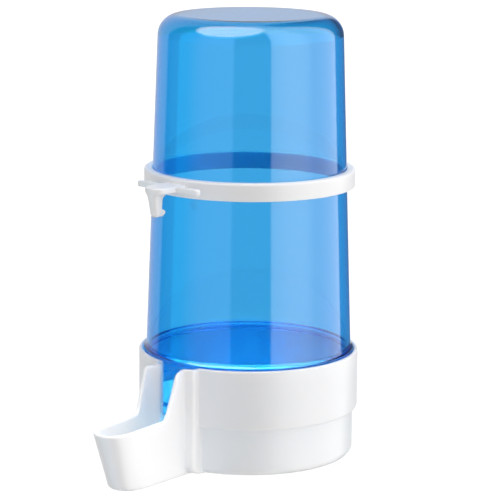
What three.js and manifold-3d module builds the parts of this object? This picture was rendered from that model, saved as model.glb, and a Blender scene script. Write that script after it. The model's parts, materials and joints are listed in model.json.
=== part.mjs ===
// Bird water fountain: a see-through reservoir stands upside down in a white base with a drinking spout,
// and a white clip ring on the reservoir hooks over the wires of a cage. The origin is on the reservoir's
// axis, in the plane of the underside. The spout points along -Y. Millimetres and degrees.
import * as THREE from 'three';
import { mergeVertices } from 'three/addons/utils/BufferGeometryUtils.js';
import Module from 'manifold-3d';

const wasm = await Module();
wasm.setup();

// Sizes: reservoir
const tubeRadius = 35; // outside, level with the base's rim
const tubeRise = 113.8; // from the base's rim to the crown
const tubeDraft = 2.03; // the wall leans in towards the crown
const tubeWall = 1.2;
const crownRound = 7.1; // outside radius between wall and crown
const collarStand = 0.75; // how far the collar stands out from the wall
const collarRise = 2.3; // height of the collar's flare above the base's rim
const collarEdge = 0.5; // height of the collar's edge above the base's rim
const collarDepth = 1.5; // depth of the collar inside the base
const beadStand = 0.2;
const beadHeight = 4.4; // middle of the lower bead above the reservoir's mouth
const beadWidth = 1.1;
const mouthRound = 0.4;

// Sizes: base
const fitGap = 0.3; // clearance between pieces that slide in each other
const seatGap = 0.3; // gap between pieces that stand on each other
const baseWall = 1.4;
const baseFloor = 1.6;
const rimHeight = 36.2;
const rimRound = 0.45;
const stepHeight = 16.2; // below it the base is narrower
const stepDepth = 1.85;
const stepRound = 0.5;
const ledgeThickness = 1; // the reservoir's mouth stands on this ledge, inside the step
const footRound = 1.6;
const cupRound = 2.4; // inside, between floor and wall

// Sizes: spout
const spoutLength = 37.8; // from the base's wall to the tip of the lip
const spoutLean = 6; // how far the lip's tip leans out past the foot's tip
const lipRise = 3.5; // the lip above the reservoir's mouth, which sets the water level
const lipDrop = 1; // from the root of the lip to its tip
const footHalfWidth = 6.1;
const rimHalfWidth = 7.6;
const noseLength = 9; // the rounded end of the spout, seen from above
const keelRound = 3.5; // outside, between the fronts and the underside
const channelRound = 2.1; // inside, between the fronts and the floor
const spoutRound = 1; // between the sides and the underside, and inside between the sides and the floor
const padHalfWidth = 9.7; // hollow pilaster on each side of the slot
const padStand = 2.5; // how far a pilaster stands out from the base's wall
const padRound = 0.9;
const padInnerRound = 0.15;
const padFillet = 1.9; // hollow between pilaster and spout
const riserTop = 7.5; // from the base's wall to the front of the riser at the rim
const riserFoot = 12; // from the base's wall to the front of the riser at the lip
const riserRound = 1.6; // corner at the top of the riser
const riserFillet = 1.6; // hollow between riser and lip

// Sizes: clip ring
const ringLift = 56.25; // from the base's rim to the ring's lower edge
const ringHeight = 5.95;
const ringWall = 2.4;
const ringRound = 0.9; // outer edge at the top
const ringEdge = 0.35; // outer edge at the bottom
const clipTurn = -3.4; // the ring is pushed on by hand, a little off the spout's direction
const plateLift = 2.3; // from the ring's lower edge to the clip's plate
const plateThickness = 2;
const wingGap = 2.3; // from the ring to the back of the wings
const wingDepth = 2.1;
const wingHalfSpan = 13.9;
const neckHalfWidth = 4.4;
const wireGap = 3.6; // between wings and hook, for two crossing cage wires
const hookThickness = 4.4;
const hookHalfWidth = 2.2;
const hookTaper = 0.75; // width of the hook's tip as a share of its root
const hookDrop = 7.8; // below the plate
const hookLean = 1.5; // the hook's outer face leans in towards its tip
const barbReach = 1.7;
const barbHeight = 2.6;
const barbTip = 1.4; // height of the barb's point above the hook's tip

// Fineness
const turnSteps = 72;
const arcSteps = 3;
const weld = 1e-4; // corners nearer than this are one

// Places worked out from the sizes
const slope = Math.tan(THREE.MathUtils.degToRad(tubeDraft));
const draft = THREE.MathUtils.degToRad(tubeDraft);
const tubeOuter = (z) => tubeRadius - (z - rimHeight) * slope;
const tubeInner = (z) => tubeOuter(z) - tubeWall / Math.cos(draft);
const crownHeight = rimHeight + tubeRise;
const ledgeHeight = stepHeight + ledgeThickness;
const mouthHeight = ledgeHeight + seatGap;
const collarRadius = tubeRadius + collarStand;
const beadMiddle = mouthHeight + beadHeight;
const beadRadius = tubeOuter(beadMiddle) + beadStand;
const boreRadius = Math.max(collarRadius, beadRadius, tubeOuter(mouthHeight)) + fitGap;
const baseRadius = boreRadius + baseWall;
const lowerRadius = baseRadius - stepDepth;
const cupRadius = lowerRadius - baseWall;
const lipHeight = mouthHeight + lipRise;
const tipReach = baseRadius + spoutLength;
const ringBottom = rimHeight + ringLift;
const ringTop = ringBottom + ringHeight;
const ringOuter = tubeOuter(ringBottom) + fitGap + ringWall;
const plateBottom = ringBottom + plateLift;
const plateTop = plateBottom + plateThickness;
const wingBack = ringOuter + wingGap;
const wingFront = wingBack + wingDepth;
const hookBack = wingFront + wireGap;
const hookFront = hookBack + hookThickness;

// Makes a closed geometry a solid that can be joined and cut, with its faces pointing out.
function solid(geometry) {
  const bare = geometry.clone();
  bare.deleteAttribute('normal');
  bare.deleteAttribute('uv');
  const welded = mergeVertices(bare, weld);
  const corners = welded.index.array;
  const places = welded.attributes.position;
  const a = new THREE.Vector3();
  const b = new THREE.Vector3();
  const c = new THREE.Vector3();
  const kept = [];
  let volume = 0;
  for (let i = 0; i < corners.length; i += 3) {
    const [p, q, r] = [corners[i], corners[i + 1], corners[i + 2]];
    if (p === q || q === r || r === p) continue;
    a.fromBufferAttribute(places, p);
    b.fromBufferAttribute(places, q);
    c.fromBufferAttribute(places, r);
    volume += a.dot(b.cross(c));
    kept.push(p, q, r);
  }
  if (volume < 0) kept.reverse();
  const vertProperties = new Float32Array(places.array);
  const triVerts = new Uint32Array(kept);
  return new wasm.Manifold(new wasm.Mesh({ numProp: 3, vertProperties, triVerts }));
}

// Turns a profile of radius and height about the Z axis.
function revolve(profile) {
  const geometry = new THREE.LatheGeometry(profile.getPoints(arcSteps), turnSteps);
  return solid(geometry.rotateX(Math.PI / 2));
}

// Skins a stack of level outlines with equal numbers of points, from the lowest to the highest.
function loft(levels) {
  const count = levels[0].outline.length;
  const positions = levels.flatMap(({ outline, z }) => outline.flatMap((p) => [p.x, p.y, z]));
  const index = [];
  for (let level = 0; level + 1 < levels.length; level += 1) {
    for (let i = 0; i < count; i += 1) {
      const low = level * count + i;
      const lowNext = level * count + ((i + 1) % count);
      index.push(low, lowNext, lowNext + count, low, lowNext + count, low + count);
    }
  }
  const last = levels.length - 1;
  for (const [p, q, r] of THREE.ShapeUtils.triangulateShape(levels[0].outline, [])) index.push(r, q, p);
  for (const [p, q, r] of THREE.ShapeUtils.triangulateShape(levels[last].outline, [])) {
    index.push(last * count + p, last * count + q, last * count + r);
  }
  const geometry = new THREE.BufferGeometry();
  geometry.setAttribute('position', new THREE.Float32BufferAttribute(positions, 3));
  geometry.setIndex(index);
  return solid(geometry);
}

// Extrudes a side view, drawn as distance from the axis and height, evenly across the spout's direction.
function slab(sideView, halfWidth) {
  const geometry = new THREE.ExtrudeGeometry(sideView, {
    depth: 2 * halfWidth,
    bevelEnabled: false,
    curveSegments: 2 * arcSteps,
  });
  geometry.translate(0, 0, -halfWidth);
  const forward = new THREE.Vector3(0, -1, 0);
  const up = new THREE.Vector3(0, 0, 1);
  const across = new THREE.Vector3().crossVectors(forward, up);
  return solid(geometry.applyMatrix4(new THREE.Matrix4().makeBasis(forward, up, across)));
}

// Extrudes a plan, drawn with +X across and +Y away from the axis, between two heights.
function plate(plan, bottom, top) {
  const geometry = new THREE.ExtrudeGeometry(plan, {
    depth: top - bottom,
    bevelEnabled: false,
    curveSegments: 2 * arcSteps,
  });
  return solid(geometry.rotateZ(Math.PI).translate(0, 0, bottom));
}

// Gives a solid back as a named mesh.
function piece(name, body, material) {
  const { vertProperties, triVerts } = body.getMesh();
  const geometry = new THREE.BufferGeometry();
  geometry.setAttribute('position', new THREE.BufferAttribute(vertProperties, 3));
  geometry.setIndex(new THREE.BufferAttribute(triVerts, 1));
  geometry.computeVertexNormals();
  const mesh = new THREE.Mesh(geometry, material);
  mesh.name = name;
  return mesh;
}

// Reservoir: one thin wall from the crown down to the mouth, with a collar at the base's rim
function makeReservoir() {
  const centreHeight = crownHeight - crownRound;
  const centreRadius = tubeOuter(centreHeight) - crownRound / Math.cos(draft);
  const innerRound = crownRound - tubeWall;
  const flareHeight = rimHeight + collarRise;
  const edgeHeight = rimHeight + collarEdge;
  const collarBottom = rimHeight - collarDepth;
  const beadTop = beadMiddle + beadWidth / 2;
  const beadBottom = beadMiddle - beadWidth / 2;
  const wall = new THREE.Path();
  wall.moveTo(0, crownHeight);
  wall.lineTo(centreRadius, crownHeight);
  wall.absarc(centreRadius, centreHeight, crownRound, Math.PI / 2, draft, true);
  wall.lineTo(tubeOuter(flareHeight), flareHeight);
  wall.quadraticCurveTo(tubeOuter(edgeHeight), edgeHeight + collarEdge, collarRadius, edgeHeight);
  wall.lineTo(collarRadius, collarBottom + collarStand);
  wall.lineTo(tubeOuter(collarBottom), collarBottom);
  wall.lineTo(tubeOuter(beadTop), beadTop);
  wall.quadraticCurveTo(beadRadius + beadStand, beadMiddle, tubeOuter(beadBottom), beadBottom);
  wall.lineTo(tubeOuter(mouthHeight + mouthRound), mouthHeight + mouthRound);
  wall.lineTo(tubeOuter(mouthHeight) - mouthRound, mouthHeight);
  wall.lineTo(tubeInner(mouthHeight) + mouthRound, mouthHeight);
  wall.lineTo(tubeInner(mouthHeight + mouthRound), mouthHeight + mouthRound);
  wall.absarc(centreRadius, centreHeight, innerRound, draft, Math.PI / 2, false);
  wall.lineTo(0, crownHeight - tubeWall);
  return revolve(wall);
}

// Outside of the base's cup, with a step half way up
function makeCup() {
  const cup = new THREE.Path();
  cup.moveTo(0, 0);
  cup.lineTo(lowerRadius - footRound, 0);
  cup.absarc(lowerRadius - footRound, footRound, footRound, -Math.PI / 2, 0, false);
  cup.lineTo(lowerRadius, stepHeight - stepRound);
  cup.quadraticCurveTo(lowerRadius, stepHeight, lowerRadius + stepRound, stepHeight);
  cup.lineTo(baseRadius - stepRound, stepHeight);
  cup.quadraticCurveTo(baseRadius, stepHeight, baseRadius, stepHeight + stepRound);
  cup.lineTo(baseRadius, rimHeight - rimRound);
  cup.quadraticCurveTo(baseRadius, rimHeight, baseRadius - rimRound, rimHeight);
  cup.lineTo(0, rimHeight);
  return revolve(cup);
}

// Hollow of the base's cup, with the ledge that the reservoir's mouth stands on
function makeCupHollow(top) {
  const hollow = new THREE.Path();
  hollow.moveTo(0, baseFloor);
  hollow.lineTo(cupRadius - cupRound, baseFloor);
  hollow.absarc(cupRadius - cupRound, baseFloor + cupRound, cupRound, -Math.PI / 2, 0, false);
  hollow.lineTo(cupRadius, ledgeHeight);
  hollow.lineTo(boreRadius, ledgeHeight);
  hollow.lineTo(boreRadius, top);
  hollow.lineTo(0, top);
  return revolve(hollow);
}

// Plan of the spout and its two pilasters at a height, drawn in by one inset, and by another at the fronts
function spoutOutline(z, inset, frontInset) {
  const half = THREE.MathUtils.mapLinear(z, 0, rimHeight, footHalfWidth, rimHalfWidth) - inset;
  const tip = THREE.MathUtils.mapLinear(z, 0, lipHeight, tipReach - spoutLean, tipReach) - frontInset;
  const pad = padHalfWidth - inset;
  const padFront = baseRadius + padStand - frontInset;
  const round = Math.max(padRound - inset, padInnerRound);
  const fillet = padFillet + inset;
  const outline = new THREE.Shape();
  outline.moveTo(-pad, 0);
  outline.lineTo(pad, 0);
  outline.lineTo(pad, padFront - round);
  outline.quadraticCurveTo(pad, padFront, pad - round, padFront);
  outline.quadraticCurveTo(half, padFront, half, padFront + fillet);
  outline.absellipse(0, tip - noseLength, half, noseLength, 0, Math.PI, false);
  outline.lineTo(-half, padFront + fillet);
  outline.quadraticCurveTo(-half, padFront, round - pad, padFront);
  outline.quadraticCurveTo(-pad, padFront, -pad, padFront - round);
  return outline.getPoints(2 * arcSteps).map((p) => new THREE.Vector2(-p.x, -p.y));
}

// Spout outside or its hollow: a loft whose lower edge is rounded, less at the sides than at the fronts
function makeSpoutBody(bottom, top, inset, sideRound, frontRound) {
  const drawn = (radius, lift) => radius - Math.sqrt(radius ** 2 - Math.max(0, radius - lift) ** 2);
  const levels = [];
  const steps = 2 * arcSteps;
  for (let i = 0; i <= steps; i += 1) {
    const lift = Math.max(sideRound, frontRound) * (1 - Math.cos((Math.PI / 2) * (i / steps)));
    const z = bottom + lift;
    const outline = spoutOutline(z, inset + drawn(sideRound, lift), inset + drawn(frontRound, lift));
    levels.push({ z, outline });
  }
  levels.push({ z: top, outline: spoutOutline(top, inset, inset) });
  return loft(levels);
}

// Side view of all that lies under the lip and the fronts of the risers
function lipView() {
  const far = 2 * tipReach;
  const lipTip = lipHeight - lipDrop;
  const footFront = baseRadius + riserFoot;
  const topFront = baseRadius + riserTop;
  const lean = (footFront - topFront) / (rimHeight - lipHeight);
  const view = new THREE.Shape();
  view.moveTo(0, 0);
  view.lineTo(far, 0);
  view.lineTo(far, lipTip);
  view.lineTo(tipReach, lipTip);
  view.lineTo(footFront + riserFillet, lipHeight);
  view.quadraticCurveTo(footFront, lipHeight, footFront - lean * riserFillet, lipHeight + riserFillet);
  view.lineTo(topFront + lean * riserRound, rimHeight - riserRound);
  view.quadraticCurveTo(topFront, rimHeight, topFront - riserRound, rimHeight);
  view.lineTo(0, rimHeight);
  return view;
}

// Base: a slot in the cup's wall lets the water out into the spout, under the reservoir's mouth
function makeBase() {
  const above = rimHeight + baseFloor;
  const spout = makeSpoutBody(0, above, 0, spoutRound, keelRound);
  const channel = makeSpoutBody(baseFloor, above, baseWall, spoutRound, channelRound);
  return makeCup()
    .add(spout.intersect(slab(lipView(), 2 * padHalfWidth)))
    .subtract(makeCupHollow(above))
    .subtract(channel);
}

// Band of the clip ring, tapered inside like the reservoir's wall
function makeBand() {
  const bottomBore = tubeOuter(ringBottom) + fitGap;
  const topBore = tubeOuter(ringTop) + fitGap;
  const band = new THREE.Path();
  band.moveTo(bottomBore, ringBottom);
  band.lineTo(ringOuter - ringEdge, ringBottom);
  band.lineTo(ringOuter, ringBottom + ringEdge);
  band.lineTo(ringOuter, ringTop - ringRound);
  band.quadraticCurveTo(ringOuter, ringTop, ringOuter - ringRound, ringTop);
  band.lineTo(topBore, ringTop);
  band.lineTo(bottomBore, ringBottom);
  return revolve(band);
}

// Flat plate of the clip: a neck, two wings that bear on upright wires, and a round nose that carries the hook
function clipPlan() {
  const wingEnd = wingDepth / 2;
  const root = ringOuter - ringWall / 2;
  const plan = new THREE.Shape();
  plan.moveTo(-neckHalfWidth, root);
  plan.lineTo(neckHalfWidth, root);
  plan.lineTo(neckHalfWidth, wingBack);
  plan.absarc(wingHalfSpan - wingEnd, wingBack + wingEnd, wingEnd, -Math.PI / 2, Math.PI / 2, false);
  plan.lineTo(neckHalfWidth, wingFront);
  plan.absarc(0, hookFront - neckHalfWidth, neckHalfWidth, 0, Math.PI, false);
  plan.lineTo(-neckHalfWidth, wingFront);
  plan.absarc(wingEnd - wingHalfSpan, wingBack + wingEnd, wingEnd, Math.PI / 2, -Math.PI / 2, false);
  plan.lineTo(-neckHalfWidth, wingBack);
  return plan;
}

// Hook: flat towards the ring, round outside, narrower at its tip
function makeHook() {
  const section = (share, lean) => {
    const half = hookHalfWidth * share;
    const outline = new THREE.Shape();
    outline.moveTo(-half, hookBack);
    outline.lineTo(half, hookBack);
    outline.absellipse(0, hookFront - lean - half, half, half, 0, Math.PI, false);
    return outline.getPoints(2 * arcSteps).map((p) => new THREE.Vector2(-p.x, -p.y));
  };
  const top = (plateBottom + plateTop) / 2;
  return loft([
    { z: plateBottom - hookDrop, outline: section(hookTaper, hookLean) },
    { z: plateBottom, outline: section(1, 0) },
    { z: top, outline: section(1, 0) },
  ]);
}

// Barb on the inside of the hook, which keeps the wire from slipping out
function makeBarb() {
  const tip = plateBottom - hookDrop;
  const view = new THREE.Shape();
  view.moveTo(hookBack + barbReach / 2, tip);
  view.lineTo(hookBack + barbReach / 2, tip + barbHeight);
  view.lineTo(hookBack, tip + barbHeight);
  view.lineTo(hookBack - barbReach, tip + barbTip);
  view.lineTo(hookBack, tip);
  return slab(view, hookHalfWidth * hookTaper);
}

// Clip ring: a band that wedges on the tapered reservoir, with a clip for the wires of a cage
function makeClipRing() {
  return makeBand()
    .add(plate(clipPlan(), plateBottom, plateTop))
    .add(makeHook())
    .add(makeBarb());
}

const bluePlastic = new THREE.MeshStandardMaterial({
  color: 0x3d9fe0,
  roughness: 0.12,
  metalness: 0,
  transparent: true,
  opacity: 0.45,
});
const whitePlastic = new THREE.MeshStandardMaterial({ color: 0xeef0f2, roughness: 0.38, metalness: 0 });

const fountain = new THREE.Group();
const clip = new THREE.Group();
clip.rotation.z = THREE.MathUtils.degToRad(clipTurn);
clip.add(piece('clip_ring', makeClipRing(), whitePlastic));
fountain.add(piece('base', makeBase(), whitePlastic));
fountain.add(piece('reservoir', makeReservoir(), bluePlastic));
fountain.add(clip);

export default fountain;
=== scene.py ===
"""Bird water fountain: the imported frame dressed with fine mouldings, plastics and soft studio light.

Lengths are metres. The spout points along -Y, and plans are drawn as (across, out): across is +X and out is
the distance from the reservoir's axis along the spout.
"""
import json
import logging
import math
from dataclasses import dataclass
from enum import Enum
from typing import Any, Sequence

import bmesh
import bpy
from bpy.types import ColorRamp, Light, Material, Node, NodeSocket, Object, World
from mathutils import Matrix, Vector


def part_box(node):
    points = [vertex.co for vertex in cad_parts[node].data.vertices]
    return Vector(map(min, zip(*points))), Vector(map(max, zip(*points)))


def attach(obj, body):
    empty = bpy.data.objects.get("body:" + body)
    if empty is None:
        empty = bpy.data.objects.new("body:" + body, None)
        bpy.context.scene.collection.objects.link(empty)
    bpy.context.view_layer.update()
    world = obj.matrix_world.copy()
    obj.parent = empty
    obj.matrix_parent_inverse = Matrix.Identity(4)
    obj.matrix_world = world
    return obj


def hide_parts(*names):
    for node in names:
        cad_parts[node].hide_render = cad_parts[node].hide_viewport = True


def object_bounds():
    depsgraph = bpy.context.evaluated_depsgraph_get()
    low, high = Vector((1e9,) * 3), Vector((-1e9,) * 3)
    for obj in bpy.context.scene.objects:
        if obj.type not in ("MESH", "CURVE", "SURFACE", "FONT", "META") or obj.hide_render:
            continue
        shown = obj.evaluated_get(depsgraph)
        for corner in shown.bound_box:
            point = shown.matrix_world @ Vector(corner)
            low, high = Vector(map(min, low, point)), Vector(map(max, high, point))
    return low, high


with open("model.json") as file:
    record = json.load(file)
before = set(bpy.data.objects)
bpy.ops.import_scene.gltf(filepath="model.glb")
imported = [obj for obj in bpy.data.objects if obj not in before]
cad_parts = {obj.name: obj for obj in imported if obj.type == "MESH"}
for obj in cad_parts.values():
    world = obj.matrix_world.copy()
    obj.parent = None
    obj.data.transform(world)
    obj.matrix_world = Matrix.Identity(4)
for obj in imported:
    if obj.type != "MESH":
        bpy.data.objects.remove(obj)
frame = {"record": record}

LOG = logging.getLogger("fountain")
MM = 0.001
MERGE_DISTANCE = 0.001 * MM
SHARP_ANGLE = math.radians(35.0)
CAD_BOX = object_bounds()
Point = tuple[float, float]
Colour = tuple[float, float, float]


class Slot(Enum):
    """The record's material slots."""

    WHITE = "white_plastic"
    BLUE = "blue_clear_plastic"


class Body(Enum):
    """The bodies that pieces ride on. Each is also the name of its one CAD node."""

    BASE = "base"
    RESERVOIR = "reservoir"
    CLIP_RING = "clip_ring"


def arc(centre: Point, radius: float, start: float, end: float, steps: int) -> list[Point]:
    """Points on an arc.

    Args:
        centre: The arc's middle.
        radius: Its radius.
        start: Angle of the first point in degrees, from the first axis towards the second.
        end: Angle of the last point in degrees.
        steps: How many chords the arc is made of.

    Returns:
        The arc's points, both ends included.
    """
    turns = [math.radians(start + (end - start) * i / steps) for i in range(steps + 1)]
    return [(centre[0] + radius * math.cos(a), centre[1] + radius * math.sin(a)) for a in turns]


def curve(first: Point, corner: Point, last: Point, steps: int) -> list[Point]:
    """Points on a curve that rounds a corner.

    Args:
        first: Where the curve starts.
        corner: The corner that it rounds.
        last: Where the curve ends.
        steps: How many chords the curve is made of.

    Returns:
        The curve's points, both ends included.
    """
    points = []
    for i in range(steps + 1):
        t = i / steps
        shares = ((1 - t) ** 2, 2 * t * (1 - t), t * t)
        points.append(tuple(sum(w * p[k] for w, p in zip(shares, (first, corner, last))) for k in (0, 1)))
    return points


def rounded(*corners: tuple[Point, Point, Point, int]) -> list[Point]:
    """An outline of several curves in a row, each with its start, corner, end and steps."""
    return [point for corner in corners for point in curve(*corner)]


def line(first: Point, last: Point, shares: Sequence[float]) -> list[Point]:
    """Points on a straight line.

    Args:
        first: Start of the line.
        last: End of the line.
        shares: Where each point lies, from 0 at the start to 1 at the end.

    Returns:
        One point for each share.
    """
    return [(first[0] + (last[0] - first[0]) * t, first[1] + (last[1] - first[1]) * t) for t in shares]


def even(count: int) -> list[float]:
    """Shares of a line at even steps, without its two ends."""
    return [(i + 1) / (count + 1) for i in range(count)]


def mirrored(half: Sequence[Point]) -> list[Point]:
    """A closed outline from one half of it, which starts and ends on the middle plane."""
    return list(half) + [(-across, out) for across, out in reversed(half[1:-1])]


def drawn_in(radius: float, lift: float) -> float:
    """How far a rounded lower edge of a given radius is drawn in at a given height above its bottom."""
    return radius - math.sqrt(radius**2 - max(0.0, radius - lift) ** 2)


def deselect_all() -> None:
    """Leaves edit mode and deselects every object."""
    if bpy.context.mode != "OBJECT":
        bpy.ops.object.mode_set(mode="OBJECT")
    bpy.ops.object.select_all(action="DESELECT")


class Skin:
    """A piece that grows like a lofted skin: a ring of vertices is extruded from level to level."""

    def __init__(self, name: str, columns: int) -> None:
        """Adds the first ring.

        Args:
            name: The piece's name.
            columns: How many vertices the ring has.
        """
        deselect_all()
        bpy.ops.mesh.primitive_circle_add(vertices=columns, radius=MM)
        self.piece = bpy.context.object
        self.piece.name = name
        self.piece.data.name = name
        self.last = -1
        bpy.ops.object.mode_set(mode="EDIT")
        mesh = bmesh.from_edit_mesh(self.piece.data)
        column = mesh.verts.layers.int.new("column")
        mesh.verts.layers.int.new("level")
        for i, vertex in enumerate(mesh.verts):
            vertex[column] = i

    def grow(self, ring: Sequence[Vector]) -> None:
        """Extrudes the last ring to a new level.

        Args:
            ring: Where the new level's vertices lie, by column.
        """
        if self.last >= 0:
            bpy.ops.mesh.extrude_edges_move()
        self.last += 1
        mesh = bmesh.from_edit_mesh(self.piece.data)
        column, level = (mesh.verts.layers.int[name] for name in ("column", "level"))
        for vertex in mesh.verts:
            if vertex.select:
                vertex.co = ring[vertex[column]]
                vertex[level] = self.last
        bmesh.update_edit_mesh(self.piece.data)

    def select(self, *levels: int) -> None:
        """Selects the rings of some levels and nothing else."""
        bpy.ops.mesh.select_mode(type="EDGE")
        bpy.ops.mesh.select_all(action="DESELECT")
        mesh = bmesh.from_edit_mesh(self.piece.data)
        level = mesh.verts.layers.int["level"]
        for edge in mesh.edges:
            first, second = (vertex[level] for vertex in edge.verts)
            edge.select_set(first == second and first in levels)
        bmesh.update_edit_mesh(self.piece.data)

    def close(self, *levels: int, margin: float = 0.0) -> None:
        """Closes the skin with a face at some levels.

        Args:
            levels: The levels whose rings get a face.
            margin: Width of the border inset along a face's edge, which keeps the face flat in the light.
        """
        for level in levels:
            self.select(level)
            bpy.ops.mesh.edge_face_add()
            if margin:
                bpy.ops.mesh.select_mode(type="FACE")
                bpy.ops.mesh.inset(thickness=margin)

    def round_edges(self, levels: Sequence[int], width: float, segments: int) -> None:
        """Bevels the rings of some levels."""
        self.select(*levels)
        bpy.ops.mesh.bevel(offset=width, segments=segments, affect="EDGES", clamp_overlap=True)

    def finish(self) -> Object:
        """Points the faces outwards and leaves edit mode.

        Returns:
            The finished piece.
        """
        bpy.ops.mesh.select_all(action="SELECT")
        bpy.ops.mesh.remove_doubles(threshold=MERGE_DISTANCE)
        bpy.ops.mesh.normals_make_consistent(inside=False)
        bpy.ops.object.mode_set(mode="OBJECT")
        return self.piece


def turned(name: str, outline: Sequence[Point], columns: int) -> Skin:
    """Turns an outline about the axis.

    Args:
        name: The piece's name.
        outline: Radius and height of each level.
        columns: How many vertices a level has.

    Returns:
        The skin, open at its first and last levels.
    """
    skin = Skin(name, columns)
    turns = [2 * math.pi * i / columns for i in range(columns)]
    for radius, height in outline:
        skin.grow([Vector((radius * math.sin(a), -radius * math.cos(a), height)) for a in turns])
    return skin


def join_solid(piece: Object, other: Object) -> None:
    """Joins another closed piece to a piece as one solid, and deletes the other."""
    deselect_all()
    bpy.context.view_layer.objects.active = piece
    union = piece.modifiers.new("union", "BOOLEAN")
    union.operation = "UNION"
    union.solver = "EXACT"
    union.object = other
    bpy.ops.object.modifier_apply(modifier=union.name)
    bpy.data.objects.remove(other)


class Value:
    """A shader socket that takes part in Python expressions."""

    def __init__(self, tree: "Tree", socket: NodeSocket) -> None:
        """Wraps an output socket of a node tree."""
        self.tree = tree
        self.socket = socket

    def _math(self, operation: str, first: Any, second: Any) -> "Value":
        """Adds a Math node.

        Args:
            operation: What the node does.
            first: Its first value or number.
            second: Its second value or number.

        Returns:
            The node's result.
        """
        node = self.tree.node("ShaderNodeMath", {"operation": operation}, {0: first, 1: second})
        return Value(self.tree, node.outputs[0])

    def __add__(self, other: Any) -> "Value":
        """Sum."""
        return self._math("ADD", self, other)

    __radd__ = __add__

    def __sub__(self, other: Any) -> "Value":
        """Difference."""
        return self._math("SUBTRACT", self, other)

    def __rsub__(self, other: Any) -> "Value":
        """Difference from a number."""
        return self._math("SUBTRACT", other, self)

    def __mul__(self, other: Any) -> "Value":
        """Product."""
        return self._math("MULTIPLY", self, other)

    __rmul__ = __mul__


class Tree:
    """A material's or the world's nodes."""

    def __init__(self, owner: Material | World) -> None:
        """Starts with an empty tree."""
        owner.use_nodes = True
        self.nodes = owner.node_tree.nodes
        self.links = owner.node_tree.links
        self.nodes.clear()

    def node(self, kind: str, settings: dict[str, Any] | None = None,
             sockets: dict[Any, Any] | None = None) -> Node:
        """Adds a node.

        Args:
            kind: The node's type.
            settings: Its settings, which are set first. A ramp's stops are pairs of place and colour.
            sockets: Values, links or numbers of its inputs, by name or number.

        Returns:
            The new node.
        """
        node = self.nodes.new(kind)
        for name, setting in (settings or {}).items():
            if name == "stops":
                self._set_stops(node.color_ramp, setting)
            else:
                setattr(node, name, setting)
        for key, value in (sockets or {}).items():
            if isinstance(value, Value):
                value = value.socket
            if isinstance(value, NodeSocket):
                self.links.new(value, node.inputs[key])
            else:
                node.inputs[key].default_value = value
        return node

    @staticmethod
    def _set_stops(ramp: ColorRamp, stops: Sequence[tuple[float, Sequence[float]]]) -> None:
        """Gives a colour ramp its stops."""
        while len(ramp.elements) < len(stops):
            ramp.elements.new(1.0)
        for element, (place, colour) in zip(ramp.elements, stops):
            element.position = place
            element.color = (*colour, 1.0)

    def noise(self, scale: float, detail: float, roughness: float = 0.55) -> Value:
        """Cloudy noise on the piece's own coordinates.

        Args:
            scale: Clouds to the metre.
            detail: How many finer layers it has.
            roughness: Strength of each finer layer beside the one before it.

        Returns:
            The noise, about 0.5.
        """
        place = self.node("ShaderNodeTexCoord").outputs["Object"]
        sockets = {"Vector": place, "Scale": scale, "Detail": detail, "Roughness": roughness}
        return Value(self, self.node("ShaderNodeTexNoise", None, sockets).outputs[0])

    def mixed(self, share: Any, first: Any, second: Any) -> NodeSocket:
        """Mixes two colours. A Mix node has its colours on inputs 6 and 7 and on output 2.

        Args:
            share: How much of the second colour there is.
            first: A colour, or a link to one.
            second: The other colour, or a link to it.

        Returns:
            The mixed colour.
        """
        ends = [(*end, 1.0) if isinstance(end, tuple) else end for end in (first, second)]
        sockets = {0: share, 6: ends[0], 7: ends[1]}
        return self.node("ShaderNodeMix", {"data_type": "RGBA"}, sockets).outputs[2]

    def bump(self, height: Value, strength: float, depth: float) -> NodeSocket:
        """Normals of a surface that a height map raises."""
        sockets = {"Strength": strength, "Distance": depth, "Height": height}
        return self.node("ShaderNodeBump", None, sockets).outputs[0]

    def soft_step(self, value: Value, low: float, high: float) -> NodeSocket:
        """A share that rises softly from 0 at a low value to 1 at a high one."""
        sockets = {"Value": value, "From Min": low, "From Max": high}
        return self.node("ShaderNodeMapRange", {"interpolation_type": "SMOOTHSTEP"}, sockets).outputs[0]


@dataclass(frozen=True)
class WhitePlastic:
    """Satin white moulding: faint clouds in colour and gloss, and a fine skin."""

    pale: Colour = (0.94, 0.94, 0.945)
    shaded: Colour = (0.91, 0.91, 0.92)
    roughness: float = 0.36
    roughness_spread: float = 0.12
    cloud_scale: float = 55.0
    cloud_detail: float = 4.0
    grain_scale: float = 2600.0
    grain_detail: float = 2.0
    grain_strength: float = 0.06
    grain_depth: float = 0.05 * MM
    refraction: float = 1.49
    milkiness: float = 0.45
    milk_depth: float = 1.2 * MM

    def make(self) -> Material:
        """Makes the material.

        Returns:
            The white plastic.
        """
        material = bpy.data.materials.new(Slot.WHITE.value)
        tree = Tree(material)
        clouds = tree.noise(self.cloud_scale, self.cloud_detail)
        grain = tree.noise(self.grain_scale, self.grain_detail)
        skin = tree.node(
            "ShaderNodeBsdfPrincipled",
            None,
            {
                "Base Color": tree.mixed(clouds, self.pale, self.shaded),
                "Roughness": (clouds - 0.5) * self.roughness_spread + self.roughness,
                "IOR": self.refraction,
                "Subsurface Weight": self.milkiness,
                "Subsurface Radius": (1.0, 1.0, 1.0),
                "Subsurface Scale": self.milk_depth,
                "Normal": tree.bump(grain, self.grain_strength, self.grain_depth),
            },
        )
        tree.node("ShaderNodeOutputMaterial", None, {"Surface": skin.outputs[0]})
        return material


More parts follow.
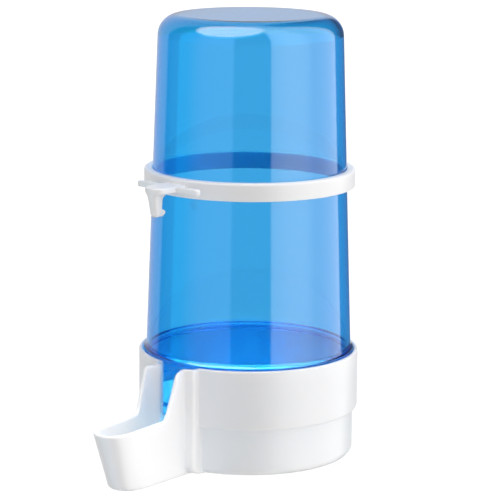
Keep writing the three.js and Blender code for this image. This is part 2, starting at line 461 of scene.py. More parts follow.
@dataclass(frozen=True)
class BlueClearPlastic:
    """Polished see-through blue moulding, whose colour deepens with the thickness that light crosses."""

    wall: float = 1.2 * MM
    passed: Colour = (0.23, 0.74, 0.96)
    shadow_passed: Colour = (0.97, 0.97, 0.97)
    roughness: float = 0.03
    roughness_spread: float = 0.05
    cloud_scale: float = 60.0
    cloud_detail: float = 4.0
    wave_scale: float = 38.0
    wave_detail: float = 1.0
    wave_strength: float = 0.05
    wave_depth: float = 0.4 * MM
    refraction: float = 1.49
    density: float = 1700.0

    def make(self) -> Material:
        """Makes the material.

        Returns:
            The blue plastic.
        """
        material = bpy.data.materials.new(Slot.BLUE.value)
        tree = Tree(material)
        clouds = tree.noise(self.cloud_scale, self.cloud_detail)
        waves = tree.noise(self.wave_scale, self.wave_detail)
        clear = tree.node(
            "ShaderNodeBsdfPrincipled",
            None,
            {
                "Base Color": (1.0, 1.0, 1.0, 1.0),
                "Roughness": (clouds - 0.5) * self.roughness_spread + self.roughness,
                "IOR": self.refraction,
                "Transmission Weight": 1.0,
                "Normal": tree.bump(waves, self.wave_strength, self.wave_depth),
            },
        )
        through = tree.node("ShaderNodeBsdfTransparent", None, {"Color": (*self.shadow_passed, 1.0)})
        shadow = tree.node("ShaderNodeLightPath").outputs["Is Shadow Ray"]
        surface = tree.node(
            "ShaderNodeMixShader", None, {0: shadow, 1: clear.outputs[0], 2: through.outputs[0]}
        )
        kept = [1.0 + math.log(share) / (self.density * self.wall) for share in self.passed]
        inside = tree.node(
            "ShaderNodeVolumeAbsorption", None, {"Color": (*kept, 1.0), "Density": self.density}
        )
        tree.node(
            "ShaderNodeOutputMaterial", None, {"Surface": surface.outputs[0], "Volume": inside.outputs[0]}
        )
        return material


def dress(piece: Object, material: Material, slot: Slot, body: Body) -> None:
    """Gives a finished piece its smooth shading, its material and its place in the frame.

    Args:
        piece: The piece, which stands for its body's CAD node.
        material: Its finish.
        slot: The record's slot of that finish. Not used.
        body: The body that it rides on.
    """
    deselect_all()
    piece.select_set(True)
    bpy.context.view_layer.objects.active = piece
    bpy.ops.object.shade_smooth_by_angle(angle=SHARP_ANGLE)
    piece.data.materials.clear()
    piece.data.materials.append(material)
    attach(piece, body.value)
    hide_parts(body.value)
    LOG.info("%s: %d faces, rides on %s", piece.name, len(piece.data.polygons), body.value)


@dataclass
class Reservoir:
    """The see-through tube: closed by a crown, with a collar over the base's rim, open at its mouth."""

    rim_height: float
    radius: float = 35.0 * MM
    draft: float = math.radians(2.03)
    wall: float = 1.2 * MM
    crown_round: float = 7.1 * MM
    crown_inner_round: float = 6.3 * MM
    collar_stand: float = 0.75 * MM
    collar_rise: float = 2.3 * MM
    collar_edge: float = 0.5 * MM
    collar_depth: float = 1.5 * MM
    bead_stand: float = 0.4 * MM
    bead_height: float = 4.4 * MM
    bead_width: float = 1.1 * MM
    mouth_round: float = 0.4 * MM
    flat_shares: tuple[float, ...] = (0.04, 0.35, 0.7, 0.9)
    wall_shares: tuple[float, ...] = (0.85, 0.7, 0.55, 0.4)
    cap_margin: float = 0.2 * MM
    columns: int = 256
    crown_steps: int = 40
    flare_steps: int = 16
    collar_steps: int = 10
    bead_steps: int = 6
    mouth_steps: int = 4

    def __post_init__(self) -> None:
        """Takes the mouth's and the crown's heights from the frame."""
        low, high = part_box(Body.RESERVOIR.value)
        self.mouth = low[2]
        self.crown = high[2]

    def outer(self, height: float) -> float:
        """Outside radius of the tapered wall at a height."""
        return self.radius - (height - self.rim_height) * math.tan(self.draft)

    def inner(self, height: float) -> float:
        """Inside radius of the tapered wall at a height."""
        return self.outer(height) - self.wall / math.cos(self.draft)

    def lower_outline(self) -> list[Point]:
        """The outline's lower part: down over the collar and the bead, and round the mouth's edge.

        Returns:
            Its points, as radius and height.
        """
        outer, inner = self.outer, self.inner
        flare = self.rim_height + self.collar_rise
        edge = self.rim_height + self.collar_edge
        collar = self.radius + self.collar_stand
        low = self.rim_height - self.collar_depth
        bead, stand = self.mouth + self.bead_height, self.bead_stand
        above, below = bead + self.bead_width / 2, bead - self.bead_width / 2
        mouth, turn = self.mouth, self.mouth_round
        lip = mouth + turn
        return rounded(
            ((outer(flare), flare), (outer(edge), edge + self.collar_edge), (collar, edge), self.flare_steps),
            ((collar, low + self.collar_stand), (collar, low), (outer(low), low), self.collar_steps),
            ((outer(above), above), (outer(bead) + stand, bead), (outer(below), below), self.bead_steps),
            ((outer(lip), lip), (outer(mouth), mouth), (outer(mouth) - turn, mouth), self.mouth_steps),
            ((inner(mouth) + turn, mouth), (inner(mouth), mouth), (inner(lip), lip), self.mouth_steps),
        )

    def profile(self) -> list[Point]:
        """The wall's outline, from the crown's middle round to its inside.

        Returns:
            Its points, as radius and height.
        """
        lean = math.degrees(self.draft)
        middle_heights = [self.crown * share for share in self.wall_shares]
        shoulder = self.crown - self.crown_round
        flat = self.outer(shoulder) - self.crown_round / math.cos(self.draft)
        points = line((0.0, self.crown), (flat, self.crown), self.flat_shares)
        points += arc((flat, shoulder), self.crown_round, 90.0, lean, self.crown_steps)
        points += [(self.outer(height), height) for height in middle_heights]
        points += self.lower_outline()
        points += [(self.inner(height), height) for height in reversed(middle_heights)]
        inside = self.crown - self.wall
        shoulder = inside - self.crown_inner_round
        flat = self.inner(shoulder) - self.crown_inner_round / math.cos(self.draft)
        points += arc((flat, shoulder), self.crown_inner_round, lean, 90.0, self.crown_steps)
        shares = [1 - share for share in reversed(self.flat_shares)]
        return points + line((flat, inside), (0.0, inside), shares)

    def build(self) -> Object:
        """Turns the wall about the axis.

        Returns:
            The finished piece.
        """
        skin = turned("reservoir_shell", self.profile(), self.columns)
        skin.close(skin.last, 0, margin=self.cap_margin)
        return skin.finish()


@dataclass(frozen=True)
class Rounds:
    """How far the spout's sides, its nose and the pilaster's front are drawn in at a level."""

    sides: float = 0.0
    nose: float = 0.0
    pad: float = 0.0


@dataclass
class Base:
    """The cup with its drinking spout: an even wall that runs through hollow pilasters into the spout."""

    wall: float = 1.4 * MM
    floor: float = 1.6 * MM
    foot_round: float = 2.4 * MM
    step_height: float = 16.2 * MM
    step_depth: float = 1.55 * MM
    step_round: float = 0.6 * MM
    ledge_thickness: float = 1.0 * MM
    ledge_round: float = 0.25 * MM
    cup_round: float = 2.4 * MM
    edge_round: float = 0.6 * MM
    lip_height: float = 21.0 * MM
    lip_tip: float = 20.0 * MM
    lean: float = 0.335
    root_half_width: float = 6.0 * MM
    root_flare: float = 5.5 * MM
    foot_half_width: float = 5.9 * MM
    rim_half_width: float = 7.75 * MM
    nose_length: float = 8.2 * MM
    nose_fullness: float = 2.25
    keel_round: float = 1.6 * MM
    channel_round: float = 2.1 * MM
    side_round: float = 0.6 * MM
    pad_half_width: float = 9.0 * MM
    pad_stand: float = 2.5 * MM
    pad_round: float = 1.8 * MM
    pad_inner_round: float = 1.4 * MM
    pad_fillet: float = 1.0 * MM
    pad_foot_depth: float = 5.5 * MM
    pad_foot_height: float = 3.5 * MM
    pad_root_round: float = 0.45 * MM
    riser_top: float = 7.9 * MM
    riser_foot: float = 12.95 * MM
    riser_round: float = 1.6 * MM
    riser_fillet: float = 1.6 * MM
    riser_share: float = 0.46
    stretch_from: float = 17.4 * MM
    stretch_shares: tuple[float, ...] = (0.0, 0.35, 0.7, 1.0)
    cap_margin: float = 0.2 * MM
    cup_steps: int = 72
    root_steps: int = 5
    pad_side_columns: int = 3
    pad_corner_steps: int = 5
    pad_front_steps: int = 10
    riser_columns: int = 28
    lip_columns: int = 8
    nose_steps: int = 24
    riser_steps: int = 16
    step_steps: int = 4
    round_steps: int = 10
    edge_steps: int = 3
    halvings: int = 24

    def __post_init__(self) -> None:
        """Takes the rim, the wall's radius and the spout's reach from the frame."""
        low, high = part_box(Body.BASE.value)
        self.rim = high[2]
        self.radius = high[0]
        self.reach = -low[1]
        self.half_count = len(self.half_plan(self.rim, self.radius, 0.0))

    def top_at(self, out: float) -> float:
        """Height of the wall's upper edge at a distance from the axis.

        Args:
            out: Distance from the axis along the spout.

        Returns:
            The rim's, the riser's or the lip's height there.
        """
        foot = self.radius + self.riser_foot
        top = self.radius + self.riser_top
        slant = (foot - top) / (self.rim - self.lip_height)
        turn, fillet, lip = self.riser_round, self.riser_fillet, self.lip_height
        upper = ((top - turn, self.rim), (top, self.rim), (top + slant * turn, self.rim - turn))
        lower = ((foot - slant * fillet, lip + fillet), (foot, lip), (foot + fillet, lip))
        edge = [(-self.reach, self.rim)]
        edge += rounded((*upper, self.riser_steps), (*lower, self.riser_steps))
        edge.append((self.reach, self.lip_tip))
        for (near, near_height), (far, far_height) in zip(edge, edge[1:]):
            if out <= far:
                return near_height + (far_height - near_height) * (out - near) / (far - near)
        return self.lip_tip

    def half_plan(self, height: float, radius: float, inset: float, rounds: Rounds = Rounds()) -> list[Point]:
        """Half of the wall's plan at a height, from the back round to the nose.

        Args:
            height: The level's height.
            radius: Radius of the cup there.
            inset: How far the face lies inside the spout's outside: nothing, or the wall.
            rounds: How far it is drawn in further.

        Returns:
            The plan's points, with as many on every level.
        """
        drawn = inset + rounds.sides
        half = self.foot_half_width + (self.rim_half_width - self.foot_half_width) * height / self.rim - drawn
        root_half = self.root_half_width - drawn
        tip = self.reach + self.lean * (height - self.lip_tip) - inset - rounds.nose
        pad = self.pad_half_width - drawn
        pad_front = self.radius + self.pad_stand - inset - rounds.pad
        wall_start = pad_front + (self.pad_fillet + inset)
        root = self.pad_root_round
        root_centre = (pad + root, math.sqrt((radius + root) ** 2 - (pad + root) ** 2))
        root_turn = math.degrees(math.atan2(root_centre[1], root_centre[0]))
        corner = min(max(self.pad_round - inset, self.pad_inner_round), pad_front - root_centre[1])
        corner_start, corner_end = (pad, pad_front - corner), (pad - corner, pad_front)
        plan = arc((0.0, 0.0), radius, -90.0, root_turn, self.cup_steps)
        plan += arc(root_centre, root, root_turn + 180.0, 180.0, self.root_steps)[1:]
        plan += line((pad, root_centre[1]), corner_start, even(self.pad_side_columns))
        plan += curve(corner_start, (pad, pad_front), corner_end, self.pad_corner_steps)
        plan += curve(corner_end, (root_half, pad_front), (root_half, wall_start), self.pad_front_steps)[1:]
        near, rest = self.riser_share, 1 - self.riser_share
        side = [near * share for share in even(self.riser_columns)]
        side += [near + rest * share for share in even(self.lip_columns)]
        nose_start = tip - self.nose_length
        for across, out in line((half, wall_start), (half, nose_start), side):
            flare = max(0.0, 1 - (out - wall_start) / self.root_flare)
            plan.append((across - (half - root_half) * flare**2, out))
        power = 2 / self.nose_fullness
        for across, out in arc((0.0, 0.0), 1.0, 0.0, 90.0, self.nose_steps):
            plan.append((half * max(across, 0.0) ** power, nose_start + self.nose_length * out**power))
        return plan

    def ring(self, heights: Sequence[float], radius: float, inset: float = 0.0,
             rounds: Rounds = Rounds()) -> list[Vector]:
        """One level of the skin.

        Args:
            heights: The level's height by column of the half plan.
            radius: Radius of the cup at this level.
            inset: How far the face lies inside the spout's outside: nothing, or the wall.
            rounds: How far it is drawn in further.

        Returns:
            The level's vertices.
        """
        low = self.half_plan(0.0, radius, inset, rounds)
        high = self.half_plan(self.rim, radius, inset, rounds)
        half = []
        for start, end, height in zip(low, high, heights):
            across, out = line(start, end, [height / self.rim])[0]
            half.append(Vector((across, -out, height)))
        return half + [Vector((-point.x, point.y, point.z)) for point in reversed(half[1:-1])]

    def upper_edge(self, radius: float, inset: float) -> list[float]:
        """Height of the upper edge on each column of the half plan.

        Args:
            radius: Radius of the cup's face.
            inset: How far the face lies inside the spout's outside: nothing, or the wall.

        Returns:
            The heights, by column.
        """
        heights = []
        low_plan = self.half_plan(0.0, radius, inset)
        high_plan = self.half_plan(self.rim, radius, inset)
        for start, end in zip(low_plan, high_plan):
            low, high = self.stretch_from, self.rim
            for _ in range(self.halvings):
                middle = (low + high) / 2
                if middle < self.top_at(line(start, end, [middle / self.rim])[0][1]):
                    low = middle
                else:
                    high = middle
            heights.append((low + high) / 2)
        return heights

    def blended(self, cup_height: float, spout_height: float) -> list[float]:
        """A level's heights by column, where the cup's wall has a step that the spout hasn't.

        Args:
            cup_height: Height on the cup's columns.
            spout_height: Height on the spout's columns.

        Returns:
            The heights, which run over from one to the other in the hollow at the pilaster's root.
        """
        heights = []
        for column in range(self.half_count):
            share = min(max((column - self.cup_steps) / self.root_steps, 0.0), 1.0)
            heights.append(cup_height + (spout_height - cup_height) * share)
        return heights

    def stretched(self, top: Sequence[float], share: float) -> list[float]:
        """Heights by column at a share of the way up to the upper edge, from where the stretch starts."""
        return [self.stretch_from + (height - self.stretch_from) * share for height in top]

    def lifts(self, radius: float) -> list[float]:
        """Heights of the levels of a rounded lower edge, from its bottom up."""
        turns = [math.pi / 2 * i / self.round_steps for i in range(self.round_steps + 1)]
        return [radius * (1 - math.cos(turn)) for turn in turns]

    def grow_steps(self, skin: Skin, profile: Sequence[Point], spout_ends: Point, inset: float) -> None:
        """Grows the levels of a step in the cup's wall.

        Args:
            skin: The skin that grows.
            profile: The step as radius and height, in the order of growth.
            spout_ends: Heights on the spout's columns at the first and at the last of these levels.
            inset: How far the face lies inside the spout's outside: nothing, or the wall.
        """
        for i, (radius, height) in enumerate(profile):
            spout_height = spout_ends[0] + (spout_ends[1] - spout_ends[0]) * i / (len(profile) - 1)
            skin.grow(self.ring(self.blended(height, spout_height), radius, inset))

    def grow_outside(self, skin: Skin) -> None:
        """Grows the outside from the underside up to the rim and the lip.

        Args:
            skin: The skin that grows.
        """
        radius, lower = self.radius, self.radius - self.step_depth
        for lift in self.lifts(self.pad_foot_height):
            pad_drawn = drawn_in(self.pad_foot_height, lift) * self.pad_foot_depth / self.pad_foot_height
            rounds = Rounds(drawn_in(self.side_round, lift), drawn_in(self.keel_round, lift), pad_drawn)
            foot = lower - drawn_in(self.foot_round, lift)
            skin.grow(self.ring([lift] * self.half_count, foot, 0.0, rounds))
        skin.grow(self.ring([self.step_height / 2] * self.half_count, lower))
        step, turn = self.step_height, self.step_round
        profile = rounded(
            ((lower, step - turn), (lower, step), (lower + turn, step), self.step_steps),
            ((radius - turn, step), (radius, step), (radius, step + turn), self.step_steps),
        )
        self.grow_steps(skin, profile, (step - turn, step + turn), 0.0)
        top = self.upper_edge(radius, 0.0)
        for share in self.stretch_shares:
            skin.grow(self.ring(self.stretched(top, share), radius))

    def grow_inside(self, skin: Skin) -> None:
        """Grows the inside from the upper edge down to the floor.

        Args:
            skin: The skin that grows.
        """
        bore = self.radius - self.wall
        cup = bore - self.step_depth
        ledge, turn = self.step_height + self.ledge_thickness, self.ledge_round
        top = self.upper_edge(bore, self.wall)
        for share in reversed(self.stretch_shares):
            skin.grow(self.ring(self.stretched(top, share), bore, self.wall))
        corner = curve((cup + turn, ledge), (cup, ledge), (cup, ledge - turn), self.step_steps)
        self.grow_steps(skin, [(bore, ledge)] + corner, (ledge, ledge - 2 * turn), self.wall)
        skin.grow(self.ring([(self.floor + ledge) / 2] * self.half_count, cup, self.wall))
        for lift in reversed(self.lifts(self.cup_round)):
            channel_drawn = drawn_in(self.channel_round, lift)
            rounds = Rounds(drawn_in(self.side_round, lift), channel_drawn, channel_drawn)
            radius = cup - drawn_in(self.cup_round, lift)
            skin.grow(self.ring([self.floor + lift] * self.half_count, radius, self.wall, rounds))

    def build(self) -> Object:
        """Grows the base as one skin: up the outside, over the edge and down the inside.

        Returns:
            The finished piece.
        """
        skin = Skin("base_moulding", 2 * self.half_count - 2)
        self.grow_outside(skin)
        outer_edge = skin.last
        self.grow_inside(skin)
        skin.close(skin.last, 0, margin=self.cap_margin)
        skin.round_edges((outer_edge, outer_edge + 1), self.edge_round, self.edge_steps)
        return skin.finish()


@dataclass
class ClipRing:
    """The ring on the reservoir: a band, a plate with two wings, and a hook for the wires of a cage."""

    tube: Reservoir
    fit_gap: float = 0.3 * MM
    bore_gap: float = 0.1 * MM
    height: float = 5.95 * MM
    wall: float = 2.4 * MM
    top_round: float = 0.9 * MM
    edge_round: float = 0.35 * MM
    plate_lift: float = 2.3 * MM
    plate_thickness: float = 2.0 * MM
    plate_round: float = 0.75 * MM
    wing_gap: float = 2.3 * MM
    wing_depth: float = 2.1 * MM
    wing_half_span: float = 13.9 * MM
    neck_half_width: float = 4.4 * MM
    neck_fillet: float = 0.7 * MM
    wire_gap: float = 3.6 * MM
    hook_thickness: float = 4.4 * MM
    hook_half_width: float = 2.2 * MM
    hook_taper: float = 0.75
    hook_drop: float = 7.8 * MM
    hook_lean: float = 1.5 * MM
    hook_set_back: float = 0.1 * MM
    hook_round: float = 0.5 * MM
    hook_flare: float = 1.5 * MM
    flare_height: float = 2.4 * MM
    flare_ratio: float = 3.0
    tip_round: float = 0.8 * MM
    barb_reach: float = 1.7 * MM
    barb_height: float = 2.6 * MM
    barb_tip: float = 1.4 * MM
    barb_bluntness: float = 0.7
    barb_margin: float = 1.1
    cap_margin: float = 0.1 * MM
    columns: int = 224
    edge_steps: int = 4
    top_steps: int = 8
    neck_steps: int = 6
    wing_steps: int = 14
    tab_steps: int = 20
    hook_steps: int = 12
    barb_steps: int = 24
    flare_levels: int = 7

    def __post_init__(self) -> None:
        """Takes the ring's height on the tube and its turn from the frame."""
        self.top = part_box(Body.CLIP_RING.value)[1][2]
        self.bottom = self.top - self.height
        self.outer = self.tube.outer(self.bottom) + self.fit_gap + self.wall
        self.plate_bottom = self.bottom + self.plate_lift
        self.wing_back = self.outer + self.wing_gap
        self.wing_front = self.wing_back + self.wing_depth
        self.hook_back = self.wing_front + self.wire_gap
        self.hook_front = self.hook_back + self.hook_thickness
        mounts = {mount["name"]: mount for mount in frame["record"]["mounts"]}
        across, along, _ = mounts["wing_face_right"]["axis"]
        self.turn = math.atan2(across, -along)

    def build_band(self) -> Object:
        """Grows the band round its section and bridges its last level to the first.

        Returns:
            The band.
        """
        bottom, top, outer = self.bottom, self.top, self.outer
        low_bore = self.tube.outer(bottom) + self.bore_gap
        high_bore = self.tube.outer(top) + self.bore_gap
        edge, crest, steps = self.edge_round, self.top_round, self.edge_steps
        section = rounded(
            ((low_bore, bottom + edge), (low_bore, bottom), (low_bore + edge, bottom), steps),
            ((outer - edge, bottom), (outer, bottom), (outer, bottom + edge), steps),
            ((outer, top - crest), (outer, top), (outer - crest, top), self.top_steps),
            ((high_bore + edge, top), (high_bore, top), (high_bore, top - edge), steps),
        )
        skin = turned("clip_ring_moulding", section, self.columns)
        skin.select(0, skin.last)
        bpy.ops.mesh.bridge_edge_loops()
        return skin.finish()

    def build_plate(self) -> Object:
        """Extrudes the plate's plan and rounds its edges.

        Returns:
            The plate.
        """
        neck, fillet, wing_end = self.neck_half_width, self.neck_fillet, self.wing_depth / 2
        back, front = self.wing_back, self.wing_front
        half = [(0.0, self.outer - self.wall / 2), (neck, self.outer - self.wall / 2)]
        half += curve((neck, back - fillet), (neck, back), (neck + fillet, back), self.neck_steps)
        wing_centre = (self.wing_half_span - wing_end, back + wing_end)
        half += arc(wing_centre, wing_end, -90.0, 90.0, self.wing_steps)
        half += curve((neck + fillet, front), (neck, front), (neck, front + fillet), self.neck_steps)
        half += arc((0.0, self.hook_front - neck), neck, 0.0, 90.0, self.tab_steps)
        plan = mirrored(half)
        skin = Skin("clip_plate", len(plan))
        for height in (self.plate_bottom, self.plate_bottom + self.plate_thickness):
            skin.grow([Vector((across, -out, height)) for across, out in plan])
        skin.close(0, skin.last)
        skin.round_edges((0, skin.last), self.plate_round, self.edge_steps)
        return skin.finish()

    def hook_section(self, lift: float) -> list[Point]:
        """Section of the hook at a height above its tip: flat towards the ring and round outside.

        Args:
            lift: Height above the tip.

        Returns:
            The section's outline.
        """
        share = min(lift / self.hook_drop, 1.0)
        drawn = drawn_in(self.tip_round, lift)
        half = self.hook_half_width * (self.hook_taper + (1 - self.hook_taper) * share) - drawn
        front = self.hook_front - self.hook_lean * (1 - share) - self.hook_set_back - drawn
        swell = 0.0
        if lift < self.barb_tip:
            swell = math.sin(math.pi / 2 * lift / self.barb_tip)
        elif lift < self.barb_height:
            swell = math.cos(math.pi / 2 * (lift - self.barb_tip) / (self.barb_height - self.barb_tip))
        back = self.hook_back - self.barb_reach * swell**self.barb_bluntness + drawn
        flare = min(max(lift - self.hook_drop + self.flare_height, 0.0) / self.flare_height, 1.0) ** 2
        half += self.hook_flare * flare
        back -= self.hook_flare * flare / self.flare_ratio
        turn = self.hook_round
        outline = [(0.0, back)]
        outline += curve((half - turn, back), (half, back), (half, back + turn), self.edge_steps)
        outline += arc((0.0, front - half), half, 0.0, 90.0, self.hook_steps)
        return mirrored(outline)

    def build_hook(self) -> Object:
        """Grows the hook from its tip up into the plate.

        Returns:
            The hook.
        """
        tip = self.plate_bottom - self.hook_drop
        steps = self.barb_steps
        lifts = [self.barb_height * self.barb_margin * i / steps for i in range(steps + 1)]
        shares = (0.0, *even(self.flare_levels), 1.0)
        lifts += [self.hook_drop - self.flare_height * (1 - share) for share in shares]
        lifts.append(self.hook_drop + self.plate_thickness / 2)
        skin = Skin("clip_hook", len(self.hook_section(0.0)))
        for lift in lifts:
            skin.grow([Vector((across, -out, tip + lift)) for across, out in self.hook_section(lift)])
        skin.close(skin.last, 0, margin=self.cap_margin)
        return skin.finish()

    def build(self) -> Object:
        """Joins band, plate and hook into one moulding and turns it as the frame has it.

        Returns:
            The finished piece.
        """
        piece = self.build_band()
        join_solid(piece, self.build_plate())
        join_solid(piece, self.build_hook())
        piece.data.transform(Matrix.Rotation(self.turn, 4, "Z"))
        return piece


def away_from_camera_side(camera_side: float, across: float, up: float) -> Vector:
    """Gives a direction by its angles from the camera's side of the object.

    Args:
        camera_side: Direction of the camera about Z, in radians, from +X towards +Y.
        across: Angle about Z from the camera's side, in degrees.
        up: Angle above the floor, in degrees.

    Returns:
        The direction, away from the object, of length 1.
    """
    side = camera_side + math.radians(across)
    rise = math.radians(up)
    return Vector((math.cos(side) * math.cos(rise), math.sin(side) * math.cos(rise), math.sin(rise)))


def add_hidden_lamp(lamp: Light, place: Vector, away: Vector) -> None:
    """Adds a lamp that gives light and isn't seen itself, not in the plastic's shine either.

    Args:
        lamp: The lamp's settings.
        place: Where it stands.
        away: The direction from what it lights to the lamp.
    """
    stand = bpy.data.objects.new(lamp.name, lamp)
    stand.location = place
    stand.rotation_euler = away.to_track_quat("Z", "Y").to_euler()
    stand.visible_glossy = False
    stand.visible_transmission = False
    stand.visible_camera = False
    bpy.context.scene.collection.objects.link(stand)


@dataclass(frozen=True)
class Lamp:
    """A soft box. Its place is given by angles from the camera's side of the object."""

    name: str
    across: float
    up: float
    distance: float
    width: float
    height: float
    brightness: float
    round_face: bool = False

    def add(self, camera_side: float, target: Vector) -> None:
        """Adds the lamp, aimed at a point.

        Args:
            camera_side: Direction of the camera about Z, in radians, from +X towards +Y.
            target: The point that it is aimed at.
        """
        away = away_from_camera_side(camera_side, self.across, self.up)
        lamp = bpy.data.lights.new(self.name, "AREA")
        lamp.shape = "ELLIPSE" if self.round_face else "RECTANGLE"
        lamp.size = self.width
        lamp.size_y = self.height
        lamp.energy = self.brightness * math.pi * self.width * self.height
        add_hidden_lamp(lamp, target + away * self.distance, away)


@dataclass(frozen=True)
class Beam:
    """A narrow lamp that lights a hollow of the object. Its place is given like a soft box's."""

    name: str
    aim: tuple[float, float, float]
    up: float
    angle: float
    strength: float
    soft_edge: float
    across: float = 0.0
    distance: float = 0.68
    face: float = 5.0 * MM

    def add(self, camera_side: float) -> None:
        """Adds the lamp.

        Args:
            camera_side: Direction of the camera about Z, in radians, from +X towards +Y.
        """
        away = away_from_camera_side(camera_side, self.across, self.up)
        lamp = bpy.data.lights.new(self.name, "SPOT")
        lamp.spot_size = math.radians(self.angle)
        lamp.spot_blend = self.soft_edge
        lamp.shadow_soft_size = self.face
        lamp.energy = self.strength * 4 * math.pi
        add_hidden_lamp(lamp, Vector(self.aim) + away * self.distance, away)


@dataclass(frozen=True)
class Surround:
    """What glossy surfaces mirror: a backdrop, panels at both sides, a dark room and a round lamp above."""

    brightest: float = 12.0
    dark: Colour = (0.03, 0.03, 0.03)
    ceiling: Colour = (2.2, 2.4, 2.4)
    backdrop: Colour = (0.7, 0.72, 0.75)
    right_gap: Colour = (0.12, 0.16, 0.2)
    left_panel: Colour = (0.8, 1.35, 2.0)
    left_end: Colour = (0.05, 1.2, 1.9)
    right_panel: Colour = (2.7, 2.7, 2.7)
    right_middle: Colour = (3.9, 3.9, 3.9)
    panel_top: float = 72.0
    panel_fade: float = 0.04
    lamp_across: float = -49.0
    lamp_up: float = 63.0
    lamp_spread: float = 31.0
    lamp_edge: float = 3.0
    lamp: Colour = (7.6, 5.8, 4.6)

    def dimmed(self, colour: Colour) -> Colour:
        """A colour as a share of the brightest light."""
        return tuple(part / self.brightest for part in colour)

    def stops(self) -> list[tuple[float, Colour]]:
        """The room's walls all round.

        Returns:
            Places on a turn, from behind the object over its left, its front and its right, with the
            colours there.
        """
        walls = (
            (-180.0, self.backdrop),
            (-124.0, self.backdrop),
            (-120.0, self.dark),
            (-100.0, self.dark),
            (-96.0, self.left_end),
            (-82.0, self.left_end),
            (-58.0, self.left_panel),
            (-22.0, self.left_panel),
            (-19.0, self.dark),
            (24.5, self.dark),
            (25.5, self.right_panel),
            (45.0, self.right_middle),
            (68.0, self.right_middle),
            (82.0, self.right_panel),
            (125.0, self.right_panel),
            (128.0, self.right_gap),
            (166.0, self.right_gap),
            (172.0, self.backdrop),
        )
        return [((turn + 180.0) / 360.0, self.dimmed(colour)) for turn, colour in walls]

    @staticmethod
    def along(tree: Tree, direction: NodeSocket, axis: Vector) -> Value:
        """How far a direction points along an axis."""
        node = tree.node("ShaderNodeVectorMath", {"operation": "DOT_PRODUCT"}, {0: direction, 1: axis})
        return Value(tree, node.outputs["Value"])

    def add(self, tree: Tree, camera_side: float) -> NodeSocket:
        """Adds the room to the world's nodes.

        Args:
            tree: The world's nodes.
            camera_side: Direction of the camera about Z, in radians, from +X towards +Y.

        Returns:
            The room's shader.
        """
        direction = tree.node("ShaderNodeTexCoord").outputs["Generated"]
        towards = away_from_camera_side(camera_side, 0.0, 0.0)
        right = away_from_camera_side(camera_side, 90.0, 0.0)
        lamp_axis = away_from_camera_side(camera_side, self.lamp_across, self.lamp_up)
        turn = tree.node(
            "ShaderNodeMath",
            {"operation": "ARCTAN2"},
            {0: self.along(tree, direction, right), 1: self.along(tree, direction, towards)},
        )
        place = Value(tree, turn.outputs[0]) * (0.5 / math.pi) + 0.5
        walls = tree.node("ShaderNodeValToRGB", {"stops": self.stops()}, {0: place}).outputs[0]
        top = math.sin(math.radians(self.panel_top))
        rise = self.along(tree, direction, Vector((0.0, 0.0, 1.0)))
        above = tree.soft_step(rise, top - self.panel_fade, top + self.panel_fade)
        outside, inside = self.lamp_spread + self.lamp_edge, self.lamp_spread - self.lamp_edge
        edges = (math.cos(math.radians(outside)), math.cos(math.radians(inside)))
        in_lamp = tree.soft_step(self.along(tree, direction, lamp_axis), *edges)
        room = tree.mixed(above, walls, self.dimmed(self.ceiling))
        lit = tree.mixed(in_lamp, room, self.dimmed(self.lamp))
        return tree.node("ShaderNodeBackground", None, {"Color": lit, "Strength": self.brightest}).outputs[0]


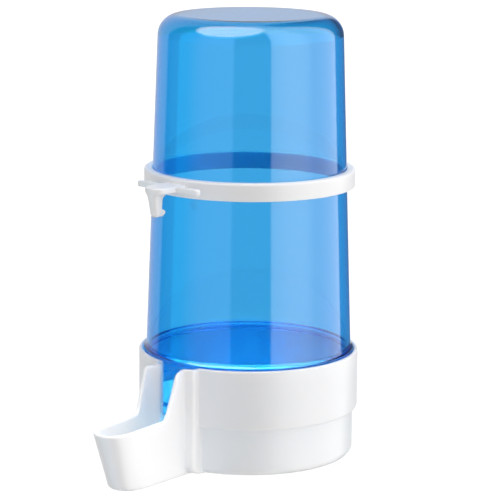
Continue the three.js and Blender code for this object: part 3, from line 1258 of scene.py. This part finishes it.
@dataclass
class Studio:
    """A pale floor, even soft light and the camera at the photograph's viewing angle."""

    floor_size: float = 12.0
    floor_cells: int = 8
    floor_drop: float = 0.05 * MM
    floor_colour: Colour = (0.08, 0.08, 0.08)
    floor_fade: float = 0.985
    floor_cloud_scale: float = 3.0
    floor_cloud_detail: float = 3.0
    floor_roughness: float = 0.75
    floor_glow: float = 0.53
    floor_shine: float = 0.98
    floor_through: Colour = (0.73, 0.53, 0.68)
    world_brightness: float = 0.56
    world_through: float = 1.3
    lamps: tuple[Lamp, ...] = (
        Lamp("key_box", across=86.0, up=32.0, distance=1.2, width=1.1, height=0.9, brightness=1.95),
        Lamp("top_box", across=75.0, up=86.0, distance=2.4, width=1.1, height=1.1, brightness=3.5,
             round_face=True),
    )
    beams: tuple[Beam, ...] = (
        Beam("cup_beam", aim=(0.0, 0.0, 0.0), up=90.0, angle=5.4, strength=2.6, soft_edge=0.25),
        Beam("wall_beam", aim=(-0.021, 0.026, 0.03), up=59.0, angle=4.2, strength=1.05, soft_edge=1.0),
        Beam("spout_beam", aim=(0.0, -0.057, 0.012), up=66.0, angle=5.0, strength=0.58, soft_edge=0.9,
             across=-4.0, distance=0.6),
    )
    camera_place: tuple[float, float, float] = (0.5111, -0.6240, 0.2299)
    camera_turn: float = math.radians(39.3)
    camera_tilt: float = math.radians(78.76)
    camera_roll: float = 0.0078
    camera_near: float = 0.01
    lens: float = 173.95
    bounces: int = 24
    glossy_bounces: int = 12

    def lay_floor(self) -> None:
        """Lays the floor just under the object."""
        deselect_all()
        bpy.ops.mesh.primitive_grid_add(
            x_subdivisions=self.floor_cells,
            y_subdivisions=self.floor_cells,
            size=self.floor_size,
            location=(0.0, 0.0, -self.floor_drop),
        )
        floor = bpy.context.object
        floor.name = "studio_floor"
        bpy.ops.object.transform_apply(location=True)
        material = bpy.data.materials.new("studio_floor")
        tree = Tree(material)
        clouds = tree.noise(self.floor_cloud_scale, self.floor_cloud_detail)
        faded = tuple(self.floor_fade * part for part in self.floor_colour)
        path = tree.node("ShaderNodeLightPath").outputs
        glow = tree.mixed(path["Is Camera Ray"], (self.floor_glow,) * 3, (self.floor_shine,) * 3)
        glow = tree.mixed(path["Is Transmission Ray"], glow, self.floor_through)
        paper = tree.node(
            "ShaderNodeBsdfPrincipled",
            None,
            {
                "Base Color": tree.mixed(clouds, self.floor_colour, faded),
                "Roughness": self.floor_roughness,
                "Emission Color": glow,
                "Emission Strength": 1.0,
            },
        )
        tree.node("ShaderNodeOutputMaterial", None, {"Surface": paper.outputs[0]})
        floor.data.materials.append(material)
        floor.visible_glossy = False

    def light(self) -> None:
        """Adds an even sky, what glossy surfaces mirror, the soft boxes and the beams."""
        camera_side = math.atan2(self.camera_place[1], self.camera_place[0])
        world = bpy.data.worlds.new("studio")
        world.cycles.sampling_method = "NONE"
        tree = Tree(world)
        path = tree.node("ShaderNodeLightPath").outputs
        colour = tree.mixed(
            path["Is Transmission Ray"], (self.world_brightness,) * 3, (self.world_through,) * 3
        )
        sky = tree.node("ShaderNodeBackground", None, {"Color": colour})
        mirrored_room = Surround().add(tree, camera_side)
        both = tree.node(
            "ShaderNodeMixShader", None, {0: path["Is Glossy Ray"], 1: sky.outputs[0], 2: mirrored_room}
        )
        tree.node("ShaderNodeOutputWorld", None, {"Surface": both.outputs[0]})
        bpy.context.scene.world = world
        low, high = CAD_BOX
        target = (Vector(low) + Vector(high)) / 2
        for lamp in self.lamps:
            lamp.add(camera_side, target)
        for beam in self.beams:
            beam.add(camera_side)
        LOG.info("studio: %d soft boxes, %d beams", len(self.lamps), len(self.beams))

    def set_camera(self) -> None:
        """Adds the camera."""
        data = bpy.data.cameras.new("camera")
        data.lens = self.lens
        data.clip_start = self.camera_near
        camera = bpy.data.objects.new("camera", data)
        turn = Matrix.Rotation(self.camera_turn, 4, "Z") @ Matrix.Rotation(self.camera_tilt, 4, "X")
        place = Matrix.Translation(self.camera_place)
        camera.matrix_world = place @ turn @ Matrix.Rotation(self.camera_roll, 4, "Z")
        bpy.context.scene.collection.objects.link(camera)
        bpy.context.scene.camera = camera

    def build(self) -> None:
        """Sets the whole studio up."""
        self.lay_floor()
        self.light()
        self.set_camera()
        scene = bpy.context.scene
        scene.view_settings.view_transform = "Standard"
        scene.cycles.max_bounces = self.bounces
        scene.cycles.glossy_bounces = self.glossy_bounces
        scene.cycles.transmission_bounces = self.bounces


def main() -> None:
    """Builds the pieces, dresses them and sets the studio up."""
    logging.basicConfig(level=logging.INFO, format="%(name)s: %(message)s")
    white = WhitePlastic().make()
    blue = BlueClearPlastic().make()
    base = Base()
    reservoir = Reservoir(base.rim)
    clip_ring = ClipRing(reservoir)
    dress(base.build(), white, Slot.WHITE, Body.BASE)
    dress(reservoir.build(), blue, Slot.BLUE, Body.RESERVOIR)
    dress(clip_ring.build(), white, Slot.WHITE, Body.CLIP_RING)
    Studio().build()


if __name__ == "__main__":
    main()
